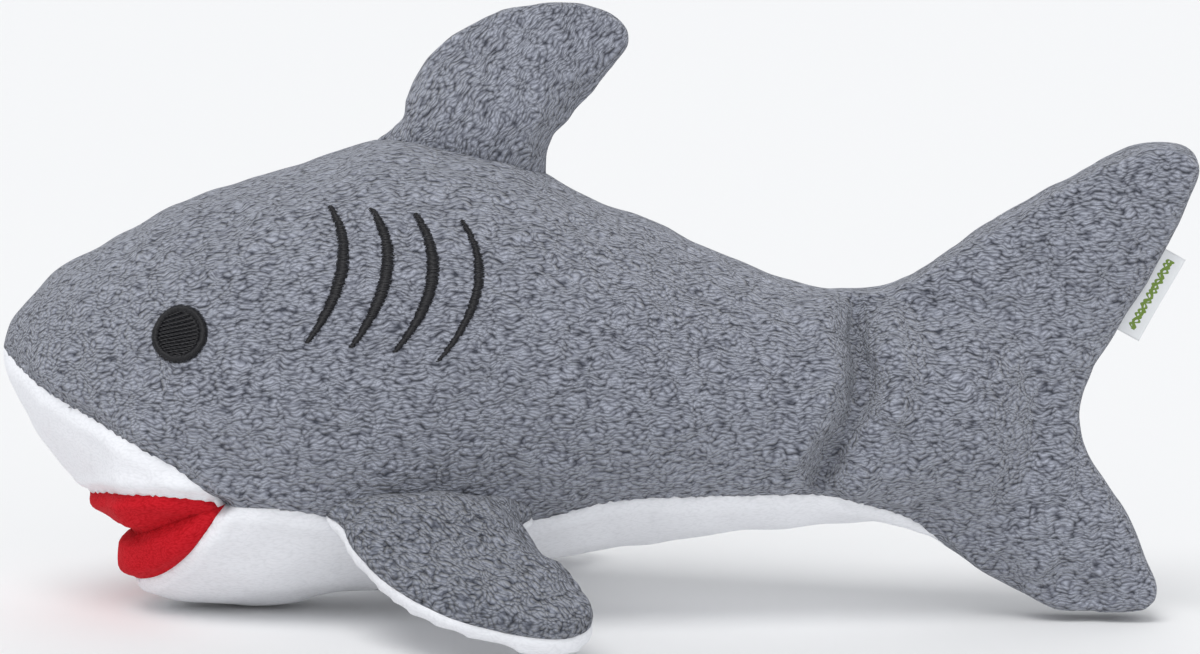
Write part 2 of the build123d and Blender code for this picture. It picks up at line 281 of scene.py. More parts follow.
select_all(trunk)
tail.select_set(True)
bpy.ops.object.join()
skin = trunk
skin.name = "skin"
remesh(skin, 0.003)
smooth(skin, 6)
print("skin", len(skin.data.vertices), "points")

# %% [markdown]
# Where cloth is sewn or folds sharply it lies in a valley. A valley is pressed into the skin along a
# line: every point near the line moves in by a depth that fades with its distance, which is a bell
# curve. A little cloth heaps up on each side of a real crease, so the curve is raised there.
# %% Press valleys into the skin
def nearest_on_line(places, line):
    """Distance from each place to a line of points, both seen from the side, and how far along it lies."""
    best = np.full(len(places), 1e9)
    share = np.zeros(len(places))
    for number in range(len(line) - 1):
        a, b = line[number], line[number + 1]
        way = b - a
        t = np.clip(((places - a) @ way) / max(way @ way, 1e-12), 0, 1)
        away = np.linalg.norm(places - (a + t[:, None] * way), axis=1)
        closer = away < best
        best[closer] = away[closer]
        share[closer] = (number + t[closer]) / (len(line) - 1)
    return best, share


def normals(piece):
    values = np.empty(len(piece.data.vertices) * 3)
    piece.data.vertex_normals.foreach_get("vector", values)
    return values.reshape(-1, 3)


def press(piece, line, depth, width, only=None, heap=0.35, fade=True):
    """Press a valley in along a side line. Depth may be a pair, for its start and its end."""
    places = coordinates(piece)
    away, share = nearest_on_line(places[:, [0, 2]], line)
    first, last = depth if isinstance(depth, tuple) else (depth, depth)
    amount = first + (last - first) * share
    if fade:
        amount = amount * np.clip(np.minimum(share, 1 - share) / 0.12, 0.0, 1.0) ** 0.5
    bell = np.exp(-(away / width) ** 2) - heap * np.exp(-((away - 2.1 * width) / width) ** 2)
    if only is not None:
        bell = bell * only(places)
    set_coordinates(piece, places - normals(piece) * (amount * bell)[:, None])


def left_side(places):
    return np.clip((0.004 - places[:, 1]) / 0.008, 0, 1)


def both_sides(places):
    return np.clip((np.abs(places[:, 1]) - 0.002) / 0.006, 0, 1)


SEAM = side_line([
    (-0.005, 79.0), (0.020, 72.5), (0.050, 66.0), (0.088, 59.8), (0.133, 52.2), (0.171, 44.6), (0.199, 36.8),
    (0.220, 36.3), (0.265, 34.8), (0.320, 30.8), (0.400, 30.5), (0.450, 32.0), (0.485, 35.5), (0.530, 38.5),
    (0.620, 39.0), (0.690, 38.5), (0.735, 34.0), (0.770, 28.5), (0.800, 17.0), (0.810, 2.0),
])
CORNER = (0.199, 36.2)
UPPER_LIP = side_line([(0.050, 32.5), (0.080, 34.8), (0.110, 37.6), (0.145, 38.6), (0.175, 37.8), CORNER])
MOUTH_FOLD = side_line([(0.080, 22.0), (0.100, 23.2), (0.122, 24.6), (0.158, 30.5), CORNER])
LOWER_LIP = side_line([
    (0.080, 7.5), (0.116, 9.5), (0.142, 12.8), (0.166, 20.0), (0.184, 28.5), (0.193, 33.5), CORNER,
])
TAIL_CREASE = side_line([
    (0.713, 97.0), (0.712, 84.0), (0.717, 75.0), (0.712, 66.0), (0.700, 57.0), (0.687, 47.0), (0.678, 41.0),
])
SOFT_CREASE = side_line([(0.738, 62.0), (0.728, 55.0), (0.715, 48.0)])
LOBE_DENT = side_line([(0.850, 112.0), (0.862, 106.0), (0.866, 99.0)])
LOWER_PINCH = side_line([(0.832, 20.0), (0.842, 14.0), (0.858, 8.0)])
LOWER_PUCKER = side_line([(0.880, 16.0), (0.905, 9.0), (0.925, 4.0)])

blow_up(skin, 1.5, 0.003)
press(skin, MOUTH_FOLD, (0.0042, 0.0022), 0.0042, heap=0.35, fade=False)
subdivide(skin)
press(skin, TAIL_CREASE, (0.0060, 0.0055), 0.0048, only=left_side, heap=0.5)
press(skin, TAIL_CREASE, (0.0034, 0.0026), 0.0022, only=left_side, heap=0.0)
press(skin, TAIL_CREASE, (0.0024, 0.0018), 0.0070, only=lambda p: 1 - left_side(p))
press(skin, SOFT_CREASE, 0.0032, 0.006, only=left_side)
press(skin, LOBE_DENT, 0.0016, 0.005, only=left_side)
press(skin, LOWER_PINCH, 0.0022, 0.004, only=both_sides)
press(skin, LOWER_PUCKER, 0.0014, 0.004, only=both_sides)
press(skin, MOUTH_FOLD, (0.0036, 0.0012), 0.0017, heap=0.2, fade=False)
press(skin, SEAM, 0.0012, 0.0020, only=both_sides)
press(skin, UPPER_LIP, 0.0016, 0.0018, fade=False)
press(skin, LOWER_LIP, 0.0014, 0.0018, fade=False)
print("skin", len(skin.data.vertices), "points after the creases")

# %% [markdown]
# Fibre filling is lumpy under the hand. Two sizes of smooth noise move the skin by about a millimetre:
# wide lumps from the filling, and small ones where the pile parts. Blender's own noise gives the same
# values on each run.
# %% Lumps of filling
from mathutils import noise


def lumps(piece, size, height, seed):
    """Raise and lower the skin by smooth noise of this size and height, in metres."""
    places = coordinates(piece)
    shift = Vector((seed * 1.7, seed * 2.9, seed * 0.6))
    values = np.array([noise.noise(Vector(place) / size + shift) for place in places])
    set_coordinates(piece, places + normals(piece) * (values * height)[:, None])


lumps(skin, 0.030, 0.0016, 1)
lumps(skin, 0.011, 0.0008, 2)

# %% [markdown]
# The skin is one closed surface, but the real toy has panels. It is cut where they meet: points near
# a cutting line slide along their edges onto it, and then the faces are sorted by the side that they
# lie on. Where pile hangs over a seam the line waves by less than a millimetre, as tufts do. Each panel
# gets the cloth's thickness with Solidify.
# %% Cut the skin into panels
CLOTH = 0.0014


def snap_to(mesh, values):
    """Slide points onto the line where the values change sign, and give the values again."""
    moved = {}
    for edge in mesh.edges:
        a, b = edge.verts
        va, vb = values[a.index], values[b.index]
        if va * vb >= 0:
            continue
        t = va / (va - vb)
        point = a.co.lerp(b.co, t)
        vertex, share = (a, t) if t < 0.5 else (b, 1 - t)
        if vertex.index not in moved or share < moved[vertex.index][0]:
            moved[vertex.index] = (share, point)
    for index, (share, point) in moved.items():
        mesh.verts[index].co = point
        values[index] = 0.0


def height_over(line, places):
    """How far each place is above a side line."""
    order = np.argsort(line[:, 0])
    return places[:, 2] - np.interp(places[:, 0], line[order, 0], line[order, 1])


def cut(piece, fields, name_of):
    """Split a skin into panels; name_of maps the signs of the fields to a panel's name."""
    mesh = bmesh.new()
    mesh.from_mesh(piece.data)
    bmesh.ops.triangulate(mesh, faces=mesh.faces[:])
    mesh.verts.ensure_lookup_table()
    values = []
    for field in fields:
        field_values = field(np.array([v.co for v in mesh.verts]))
        snap_to(mesh, field_values)
        values.append(field_values)
    groups = {}
    for face in mesh.faces:
        signs = tuple(sum(field_values[v.index] for v in face.verts) > 0 for field_values in values)
        groups.setdefault(name_of(signs), []).append(face.index)
    panels = {}
    for name, faces in groups.items():
        panel_mesh = mesh.copy()
        panel_mesh.faces.ensure_lookup_table()
        keep = set(faces)
        others = [face for face in panel_mesh.faces if face.index not in keep]
        bmesh.ops.delete(panel_mesh, geom=others, context="FACES")
        data = bpy.data.meshes.new(name)
        panel_mesh.to_mesh(data)
        panel_mesh.free()
        panel = bpy.data.objects.new(name, data)
        bpy.context.scene.collection.objects.link(panel)
        panels[name] = panel
    mesh.free()
    for panel in panels.values():
        select_all(panel)
        thickness = panel.modifiers.new("cloth", "SOLIDIFY")
        thickness.thickness = CLOTH
        thickness.offset = -1
        thickness.use_even_offset = False
        bpy.ops.object.modifier_apply(modifier=thickness.name)
        bpy.ops.object.shade_smooth()
    bpy.data.objects.remove(piece)
    print("panels:", {name: len(panel.data.polygons) for name, panel in panels.items()})
    return panels


def panel_name(signs):
    """Left cloth, right cloth, or one of the lower panels, from the signs of the fields below."""
    over_seam, on_left, before_corner, over_upper_lip, over_fold, over_lower_lip = signs
    if over_seam:
        return "back_cloth_left" if on_left else "back_cloth_right"
    if not before_corner or not over_lower_lip:
        return "belly_cloth"
    if over_upper_lip:
        return "snout_cloth"
    return "mouth_cloth_upper" if over_fold else "mouth_cloth_lower"


core = skin.copy()
core.data = skin.data.copy()
core.name = "filling"
bpy.context.scene.collection.objects.link(core)


def tufts_over(places):
    """How far the pile's tufts reach over a seam at each place, in metres."""
    x = places[:, 0] - NOSE_X
    return 0.00030 * np.sin(2300 * x + 1.4 * np.sin(610 * x)) + 0.00020 * np.sin(4100 * x + 2.0)


panels = cut(skin, [
    lambda p: height_over(SEAM, p) + tufts_over(p) + np.where(p[:, 0] > along(0.81), 1.0, 0.0),
    lambda p: -p[:, 1],
    lambda p: along(CORNER[0]) - p[:, 0],
    lambda p: height_over(UPPER_LIP, p) + 0.7 * tufts_over(p),
    lambda p: height_over(MOUTH_FOLD, p),
    lambda p: height_over(LOWER_LIP, p),
], panel_name)

# %% [markdown]
# The filling can't be seen, but it is a piece of its own: a copy of the skin, drawn in behind the cloth.
# %% Filling
def draw_in(piece, depth, ratio):
    """Shrink a closed skin along its normals and thin its mesh."""
    set_coordinates(piece, coordinates(piece) - normals(piece) * depth)
    select_all(piece)
    fewer = piece.modifiers.new("fewer", "DECIMATE")
    fewer.ratio = ratio
    bpy.ops.object.modifier_apply(modifier=fewer.name)


skin_tree = BVHTree.FromObject(core, bpy.context.evaluated_depsgraph_get())
draw_in(core, 0.0035, 0.12)
print("filling", len(core.data.polygons), "faces")

# %% [markdown]
# A fin is two panels sewn edge to edge and stuffed, so it is a pillow with a seam all round. Its slab
# is blown up like the body, and its root goes on into the body, so that no gap opens as it swings. The
# root is made thicker in its middle than at its ends, and the seam is pressed in. The joints of the
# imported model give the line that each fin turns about.
# %% Fins
JOINTS = {joint["name"]: joint for joint in frame["record"]["behaviour"]["joints"]}
DORSAL = [  # along the root and away from it, in millimetres
    (-4, -14), (-4, -6), (-2, 0), (-1, 8), (1.5, 17), (6.5, 26), (13.5, 33.0), (21, 38.6), (28, 42.2),
    (38, 45.4), (49, 46.6), (57, 44.4), (60, 38.5), (57.6, 31.5), (52.8, 18.2), (48, 7), (46.5, 0),
    (47, -8), (45, -14),
]
PECTORAL = [
    (-1, -9), (0, 0), (5, 18), (13, 33), (24, 45), (36, 53.5), (48, 58.5), (58, 60.0), (65.5, 57),
    (69.0, 49.5), (66.5, 38), (60.5, 23), (56.5, 8), (55, 0), (55, -9),
]
DORSAL_SLAB = 0.010
PECTORAL_SLAB = 0.012
DORSAL_HALF = 0.0235  # half the length of its root
PECTORAL_HALF = 0.0275
ROOT_END = 0.034  # no change to a fin beyond this distance from its root
ROOT_FADE = 0.026  # the change fades in over this distance, towards the root
ROOT_REACH = 1.08  # half lengths from the root's middle to where it is thinnest, just past its ends
ROOT_THIN = 0.25  # share of the thickness that is left there
RIM_DEPTH = 0.0009  # depth of the seam round a fin, and half its width


def round_off_root(form, start, across, outwards, normal, half, bulge):
    """Make the root thicker in its middle than at its ends, as a stuffed fin is where it is sewn on."""
    places = coordinates(form)
    from_root = places - start
    off_middle = np.clip((from_root @ across - half) / (half * ROOT_REACH), -1, 1)
    near = np.clip((ROOT_END - from_root @ outwards) / ROOT_FADE, 0, 1)
    near = near * near * (3 - 2 * near)
    scale = 1 + near * (ROOT_THIN + bulge * np.sqrt(1 - off_middle**2) - 1)
    level = from_root @ normal
    set_coordinates(form, places + ((scale - 1) * level)[:, None] * normal)


def fin_panels(name, joint_name, outline, outwards, names, thickness, root_half, root_bulge):
    """A stuffed fin on its joint's line, cut into its two panels; gives the panels and the filling."""
    joint = JOINTS[joint_name]
    across = Vector(joint["axis"])
    if across.x < 0:
        across.negate()
    outwards = Vector(outwards)
    outwards = (outwards - across * outwards.dot(across)).normalized()
    form = slab(name, outline, joint["pos_m"], across, outwards, thickness)
    remesh(form, 0.0024)
    smooth(form, 5)
    blow_up(form, 3.0, 0.0050)
    subdivide(form)
    normal = across.cross(outwards)
    start = Vector(joint["pos_m"])
    round_off_root(form, *(np.array(way) for way in (start, across, outwards, normal)), root_half, root_bulge)
    level = (coordinates(form) - np.array(start)) @ np.array(normal)
    rim = np.exp(-((level / RIM_DEPTH) ** 2))
    set_coordinates(form, coordinates(form) - normals(form) * (RIM_DEPTH * rim)[:, None])
    lumps(form, 0.020, 0.0009, 3)
    lumps(form, 0.009, 0.0003, 4)
    smooth(form, 3)
    filling = form.copy()
    filling.data = form.data.copy()
    filling.name = name + "_filling"
    bpy.context.scene.collection.objects.link(filling)
    draw_in(filling, 0.0025, 0.15)
    middle_plane = [lambda p: (p - np.array(start)) @ np.array(normal)]
    return cut(form, middle_plane, lambda signs: names[signs[0]]), filling


DORSAL_BULGE = 1.35
PECTORAL_BULGE = 1.10
fins = {"dorsal_fin": fin_panels(
    "dorsal_fin", "dorsal_fin_sway", DORSAL, (0, 0, 1),
    {True: "dorsal_cloth_left", False: "dorsal_cloth_right"},
    DORSAL_SLAB, DORSAL_HALF, DORSAL_BULGE)}
PECTORAL_OUT = (0.107, 0.920, -0.377)
for side, sign in (("left", -1), ("right", 1)):
    upper_is_over = sign > 0
    fins[f"pectoral_fin_{side}"] = fin_panels(
        f"pectoral_fin_{side}", f"pectoral_{side}_flap", PECTORAL,
        (PECTORAL_OUT[0], sign * PECTORAL_OUT[1], PECTORAL_OUT[2]),
        {upper_is_over: f"pectoral_cloth_{side}_upper", not upper_is_over: f"pectoral_cloth_{side}_lower"},
        PECTORAL_SLAB, PECTORAL_HALF, PECTORAL_BULGE)

# %% [markdown]
# Satin stitch is thread laid side by side, so it is modelled as thread: one stitch is a short bar that
# rises in its middle. The stitches of a patch are joined into one piece, and each finds the cloth below
# it by a ray, so a patch follows the cheek or the flank that it is sewn to.
# %% Stitches
import random

THREAD = 0.00024
STITCH_SIDES = 6
STITCH_STEPS = 4


def add_stitch(mesh, first, last, out, rise):
    """A bar of thread from one point to another on the cloth, bowed outwards by rise."""
    way = (last - first).normalized()
    side = way.cross(out).normalized()
    rings = []
    for step in range(STITCH_STEPS + 1):
        t = step / STITCH_STEPS
        bow = math.sin(math.pi * t)
        centre = first.lerp(last, t) + out * (rise * (0.15 + 0.85 * bow))
        radius = THREAD * (0.55 + 0.45 * bow)
        ring = []
        for turn in range(STITCH_SIDES):
            angle = 2 * math.pi * turn / STITCH_SIDES
            from_centre = side * (radius * math.cos(angle)) + out * (radius * math.sin(angle))
            ring.append(mesh.verts.new(centre + from_centre))
        rings.append(ring)
    for near, far in zip(rings, rings[1:]):
        for turn in range(STITCH_SIDES):
            following = (turn + 1) % STITCH_SIDES
            mesh.faces.new((near[turn], near[following], far[following], far[turn]))
    mesh.faces.new(rings[0][::-1])
    mesh.faces.new(rings[-1])


def on_cloth(origin, way):
    """Where a ray meets the skin, and the skin's normal there."""
    place, normal, _, _ = skin_tree.ray_cast(Vector(origin), Vector(way))
    return place, normal


def finish_stitches(mesh, name):
    data = bpy.data.meshes.new(name)
    bmesh.ops.recalc_face_normals(mesh, faces=mesh.faces[:])
    mesh.to_mesh(data)
    mesh.free()
    piece = bpy.data.objects.new(name, data)
    bpy.context.scene.collection.objects.link(piece)
    select_all(piece)
    bpy.ops.object.shade_smooth()
    return piece


PATCH_RISE = 0.0007
GILLS = [  # top, middle and lower end: millimetres behind the nose and above the table, then width
    ((100.6, 122.9), (105.2, 106.2), (95.8, 84.9), 3.7),
    ((113.0, 122.6), (118.0, 105.2), (108.3, 83.8), 3.8),
    ((125.5, 121.4), (131.0, 103.2), (120.8, 82.8), 3.7),
    ((138.8, 119.6), (144.1, 101.4), (133.2, 80.3), 2.8),
]
GILL_PITCH = 0.00036
STITCH_SLANT = 0.12
OUTSIDE = 0.2  # a place well clear of the toy, where rays start


def gill(name, side, top, middle, bottom, width, seed):
    """A crescent of satin stitch with ragged edges."""
    draw = random.Random(seed)
    shares = np.linspace(0, 1, 160)[:, None]
    top, middle, bottom = (np.array(point) for point in (top, middle, bottom))
    pull = 2 * middle - (top + bottom) / 2
    line = (1 - shares) ** 2 * top + 2 * (1 - shares) * shares * pull + shares**2 * bottom
    lengths = np.concatenate([[0], np.cumsum(np.linalg.norm(np.diff(line, axis=0), axis=1))])
    count = int(lengths[-1] * MM / GILL_PITCH)
    mesh = bmesh.new()
    for number in range(count):
        share = (number + 0.5) / count
        at = share * lengths[-1]
        x = np.interp(at, lengths, line[:, 0])
        z = np.interp(at, lengths, line[:, 1])
        half = width / 2 * (0.42 + 0.58 * math.sin(math.pi * share) ** 0.9)
        ends = []
        for way in (-1, 1):
            reach = half + draw.uniform(-0.28, 0.28)
            height = z + way * reach * STITCH_SLANT + draw.uniform(-0.1, 0.1)
            start = (NOSE_X + (x + way * reach) * MM, side * OUTSIDE, height * MM)
            ends.append(on_cloth(start, (0, -side, 0)))
        (first, normal_a), (last, normal_b) = ends
        add_stitch(mesh, first, last, (normal_a + normal_b).normalized(), PATCH_RISE)
    return finish_stitches(mesh, name)


EYE_X = NOSE_X + 0.0582
EYE_Z = 0.0861
EYE_RADIUS = 0.0085
EYE_RING = 0.0026
EYE_TURN = math.radians(30)
EYE_TIP = math.radians(8)


def eye(name, side):
    """A round patch: rows of fill stitches inside a ring of radial satin stitches."""
    draw = random.Random(7)
    level = math.cos(EYE_TIP)
    look = Vector((-math.sin(EYE_TURN) * level, side * math.cos(EYE_TURN) * level, math.sin(EYE_TIP)))
    sideways = look.cross(Vector((0, 0, 1))).normalized()
    upward = sideways.cross(look)
    surface, _ = on_cloth((EYE_X, side * OUTSIDE, EYE_Z), (0, -side, 0))
    outside = surface + look * 0.05
    mesh = bmesh.new()

    def sew(a, b, rise):
        spots = [on_cloth(outside + sideways * u + upward * v, -look) for u, v in (a, b)]
        normal = (spots[0][1] + spots[1][1]).normalized()
        add_stitch(mesh, spots[0][0], spots[1][0], normal, rise)

    inside = EYE_RADIUS - EYE_RING * 0.75
    rows = int(2 * inside / GILL_PITCH)
    stitch_length = 0.0042
    for row in range(rows):
        v = -inside + (row + 0.5) * 2 * inside / rows
        reach = math.sqrt(inside**2 - v**2)
        u = -reach - (row % 3) * stitch_length / 3
        while u < reach:
            a, b = max(u, -reach), min(u + stitch_length, reach)
            if b - a > 0.0004:
                sew((a, v), (b, v + draw.uniform(-0.00006, 0.00006)), PATCH_RISE)
            u += stitch_length
    around = int(2 * math.pi * (EYE_RADIUS - EYE_RING / 2) / GILL_PITCH)
    for number in range(around):
        angle = 2 * math.pi * number / around
        inner = EYE_RADIUS - EYE_RING + draw.uniform(-0.0002, 0.0002)
        outer = EYE_RADIUS + draw.uniform(-0.00015, 0.00015)
        c, s = math.cos(angle), math.sin(angle)
        sew((inner * c, inner * s), (outer * c, outer * s), PATCH_RISE * 1.5)
    return finish_stitches(mesh, name)


patches = {}
for side_name, side in (("left", -1), ("right", 1)):
    patches[f"eye_{side_name}"] = eye(f"eye_patch_{side_name}", side)
    for number, shape in enumerate(GILLS, 1):
        stripe = gill(f"gill_stripe_{side_name}_{number}", side, *shape, seed=number)
        patches[f"gill_{side_name}_{number}"] = stripe
print("patches", sum(len(patch.data.polygons) for patch in patches.values()), "faces")

# %% [markdown]
# The label is a strip of satin ribbon folded in half, with both ends in the seam. A plane is bent into
# that loop: flat sides, a soft round fold, and ends that sink into the tail. Its UV map runs along and
# across the ribbon, for the weave and the printed lines.
# %% Label
LABEL_LENGTH = 0.028
LABEL_REACH = 0.0038
LABEL_SUNK = 0.0058
LABEL_FOLD = 0.0007
RIBBON = 0.0003
label_joint = JOINTS["label_flap"]
label_along = Vector(label_joint["axis"]).normalized()
label_out = label_along.cross(Vector((0, 1, 0)))
if label_out.x < 0:
    label_out.negate()
bpy.ops.mesh.primitive_grid_add(x_subdivisions=40, y_subdivisions=36, size=1)
label = bpy.context.object
label.name = "ribbon_label"
flat = LABEL_REACH + LABEL_SUNK
fold = math.pi * LABEL_FOLD
total = 2 * flat + fold
for vertex in label.data.vertices:
    u, v = vertex.co.x, vertex.co.y + 0.5
    at = v * total
    if at < flat:
        out, side = at - LABEL_SUNK, -LABEL_FOLD
    elif at < flat + fold:
        angle = (at - flat) / LABEL_FOLD
        out, side = LABEL_REACH + LABEL_FOLD * math.sin(angle), -LABEL_FOLD * math.cos(angle)
    else:
        out, side = LABEL_REACH - (at - flat - fold), LABEL_FOLD
    wave = 0.0005 * math.sin(5.0 * u + 0.6) * max(out, 0) / LABEL_REACH
    vertex.co = (Vector(label_joint["pos_m"]) + label_along * (u * LABEL_LENGTH) + label_out * out
                 + Vector((0, side + wave, 0)))
select_all(label)
ribbon = label.modifiers.new("ribbon", "SOLIDIFY")
ribbon.thickness = RIBBON
ribbon.offset = 0
bpy.ops.object.modifier_apply(modifier=ribbon.name)
bpy.ops.object.mode_set(mode="EDIT")
bpy.ops.mesh.select_all(action="SELECT")
bpy.ops.mesh.normals_make_consistent(inside=False)
bpy.ops.object.mode_set(mode="OBJECT")
bpy.ops.object.shade_smooth()
print("label", [round(v, 4) for v in label.dimensions])

# %% [markdown]
# Short pile is thousands of fibre tufts that lean the same way. From a step away the eye reads it as
# short dashes, lit on their tips and shaded between, which run with the nap. One node group paints that
# for every pile cloth. Voronoi cells are the tufts: they are stretched along the nap, bent a little by
# slow noise and roughened by fine noise. Their height gives a normal and a colour that is painted shade
# in the gaps between tufts and painted light on their tops. A cloth's own values are its three colours,
# how fine its tufts are and their relief.
# %% Pile as a node group
def new_group(name, inputs, outputs):
    group = bpy.data.node_groups.new(name, "ShaderNodeTree")
    for title, kind, default in inputs:
        socket = group.interface.new_socket(title, in_out="INPUT", socket_type=kind)
        if default is not None:
            socket.default_value = default
    for title, kind in outputs:
        group.interface.new_socket(title, in_out="OUTPUT", socket_type=kind)
    return group, group.nodes.new("NodeGroupInput"), group.nodes.new("NodeGroupOutput")


def node(tree, kind, **values):
    made = tree.nodes.new(kind)
    for key, value in values.items():
        if hasattr(made, key):
            setattr(made, key, value)
        else:
            made.inputs[key.replace("_", " ")].default_value = value
    return made


def math_node(tree, operation, a, b=None, clamp=False):
    made = tree.nodes.new("ShaderNodeMath")
    made.operation = operation
    made.use_clamp = clamp
    for socket, value in zip(made.inputs, (a, b)):
        if value is None:
            continue
        if isinstance(value, (int, float)):
            socket.default_value = value
        else:
            tree.links.new(value, socket)
    return made.outputs[0]


pile, pile_in, pile_out = new_group("pile", [
    ("Vector", "NodeSocketVector", None),
    ("Deep shade", "NodeSocketColor", (0.1, 0.1, 0.1, 1)),
    ("Middle", "NodeSocketColor", (0.3, 0.3, 0.3, 1)),
    ("Lit tip", "NodeSocketColor", (0.5, 0.5, 0.5, 1)),
    ("Tuft", "NodeSocketFloat", 1.0),
    ("Relief", "NodeSocketFloat", 1.0),
], [("Color", "NodeSocketColor"), ("Normal", "NodeSocketVector"), ("Rough", "NodeSocketFloat")])
link = pile.links.new
drift = node(pile, "ShaderNodeTexNoise", Scale=160.0, Detail=1.0)
link(pile_in.outputs["Vector"], drift.inputs["Vector"])
bend = node(pile, "ShaderNodeVectorMath", operation="MULTIPLY_ADD")
link(drift.outputs["Color"], bend.inputs[0])
bend.inputs[1].default_value = (0.0040, 0.0040, 0.0040)
link(pile_in.outputs["Vector"], bend.inputs[2])
stretch = node(pile, "ShaderNodeMapping")
stretch.inputs["Scale"].default_value = (0.38, 1.0, 1.0)
link(bend.outputs[0], stretch.inputs["Vector"])
tufts = node(pile, "ShaderNodeTexVoronoi", Randomness=1.0)
link(stretch.outputs[0], tufts.inputs["Vector"])
link(math_node(pile, "MULTIPLY", pile_in.outputs["Tuft"], 1220.0), tufts.inputs["Scale"])
tuft_height = math_node(pile, "SUBTRACT", 1.0, tufts.outputs["Distance"], clamp=True)
fibres = node(pile, "ShaderNodeTexNoise", Detail=2.0, Roughness=0.6)
link(stretch.outputs[0], fibres.inputs["Vector"])
link(math_node(pile, "MULTIPLY", pile_in.outputs["Tuft"], 3000.0), fibres.inputs["Scale"])
height = math_node(pile, "ADD", math_node(pile, "MULTIPLY", tuft_height, 0.75),
                   math_node(pile, "MULTIPLY", fibres.outputs[0], 0.25))
spread = node(pile, "ShaderNodeMapRange", clamp=True)
spread.inputs["From Min"].default_value = 0.20
spread.inputs["From Max"].default_value = 0.66
link(height, spread.inputs["Value"])
patches_of_nap = node(pile, "ShaderNodeTexNoise", Scale=45.0, Detail=3.0)
link(pile_in.outputs["Vector"], patches_of_nap.inputs["Vector"])
off_even = math_node(pile, "SUBTRACT", patches_of_nap.outputs[0], 0.5)
level = math_node(pile, "ADD", spread.outputs[0], math_node(pile, "MULTIPLY", off_even, 0.10), clamp=True)
# Colour by height: painted shade in the gaps between tufts, painted light on their tops.
low = node(pile, "ShaderNodeMix", data_type="RGBA")
link(math_node(pile, "MULTIPLY", level, 2.0, clamp=True), low.inputs["Factor"])
link(pile_in.outputs["Deep shade"], low.inputs[6])
link(pile_in.outputs["Middle"], low.inputs[7])
high = node(pile, "ShaderNodeMix", data_type="RGBA")
upper_half = math_node(pile, "SUBTRACT", math_node(pile, "MULTIPLY", level, 2.0), 1.0, clamp=True)
link(upper_half, high.inputs["Factor"])
link(low.outputs[2], high.inputs[6])
link(pile_in.outputs["Lit tip"], high.inputs[7])
relief = node(pile, "ShaderNodeBump", Distance=0.0028)
link(height, relief.inputs["Height"])
link(math_node(pile, "MULTIPLY", pile_in.outputs["Relief"], 0.9), relief.inputs["Strength"])
link(high.outputs[2], pile_out.inputs["Color"])
link(relief.outputs[0], pile_out.inputs["Normal"])
link(math_node(pile, "SUBTRACT", 1.0, math_node(pile, "MULTIPLY", level, 0.15)), pile_out.inputs["Rough"])
print("pile group", len(pile.nodes), "nodes")

# %% [markdown]
# Each cloth is the pile group in front of a Principled shader. Sheen gives the soft pale edge that
# fibres make where they are seen end on. The nap is turned for each piece with a Mapping node, so that
# it runs along the body, and outwards on the fins.
# %% Cloth materials
def srgb(red, green, blue):
    """A linear colour from its 0 to 255 values."""
    linear = [((c / 255 + 0.055) / 1.055) ** 2.4 if c > 10 else c / 255 / 12.92 for c in (red, green, blue)]
    return (*linear, 1.0)


def pile_cloth(name, deep, middle, tip, nap=(0.0, 0.0, 0.0), tuft=1.0, relief=1.0, sheen=0.35):
    material = bpy.data.materials.new(name)
    material.use_nodes = True
    tree = material.node_tree
    shader = tree.nodes["Principled BSDF"]
    where = tree.nodes.new("ShaderNodeTexCoord")
    turned = node(tree, "ShaderNodeMapping")
    turned.inputs["Rotation"].default_value = nap
    tree.links.new(where.outputs["Object"], turned.inputs["Vector"])
    cloth = tree.nodes.new("ShaderNodeGroup")
    cloth.node_tree = pile
    tree.links.new(turned.outputs[0], cloth.inputs["Vector"])
    own_values = {"Deep shade": deep, "Middle": middle, "Lit tip": tip, "Tuft": tuft, "Relief": relief}
    for socket, value in own_values.items():
        cloth.inputs[socket].default_value = value
    tree.links.new(cloth.outputs["Color"], shader.inputs["Base Color"])
    tree.links.new(cloth.outputs["Normal"], shader.inputs["Normal"])
    tree.links.new(cloth.outputs["Rough"], shader.inputs["Roughness"])
    shader.inputs["Sheen Weight"].default_value = sheen
    shader.inputs["Sheen Roughness"].default_value = 0.45
    shader.inputs["Sheen Tint"].default_value = (1, 1, 1, 1)
    shader.inputs["Specular IOR Level"].default_value = 0.15
    return material


# Each cloth's three colours go from the gaps between tufts to their tops: the darker first one is painted
# shade, the paler last one painted light.
GREY = (srgb(66, 69, 80), srgb(136, 139, 151), srgb(176, 180, 193))
# The pectoral fins get a darker copy of the same grey: painted shade for the low fins.
GREY_FIN_PAINTED_SHADE = (srgb(48, 51, 62), srgb(112, 116, 128), srgb(164, 168, 181))
WHITE = (srgb(230, 231, 235), srgb(236, 237, 241), srgb(240, 241, 245))
RED = (srgb(176, 18, 28), srgb(192, 22, 34), srgb(202, 30, 42))
grey_body = pile_cloth("grey pile", *GREY, nap=(0, math.radians(3), 0))
grey_dorsal = pile_cloth("grey pile, dorsal fin", *GREY, nap=(0, math.radians(52), 0))
# This material carries the painted shade of the darker grey.
grey_pectoral_shaded = pile_cloth("grey pile with painted shade, pectoral fins", *GREY_FIN_PAINTED_SHADE,
                           nap=(0, 0, math.radians(55)), tuft=0.82, relief=1.2)
white_body = pile_cloth("white pile", *WHITE, tuft=1.3, relief=0.07, sheen=0.15)
red_mouth = pile_cloth("red brushed lining", *RED,
                       nap=(0, math.radians(12), 0), tuft=1.6, relief=0.08, sheen=0.0)
print("cloths made")

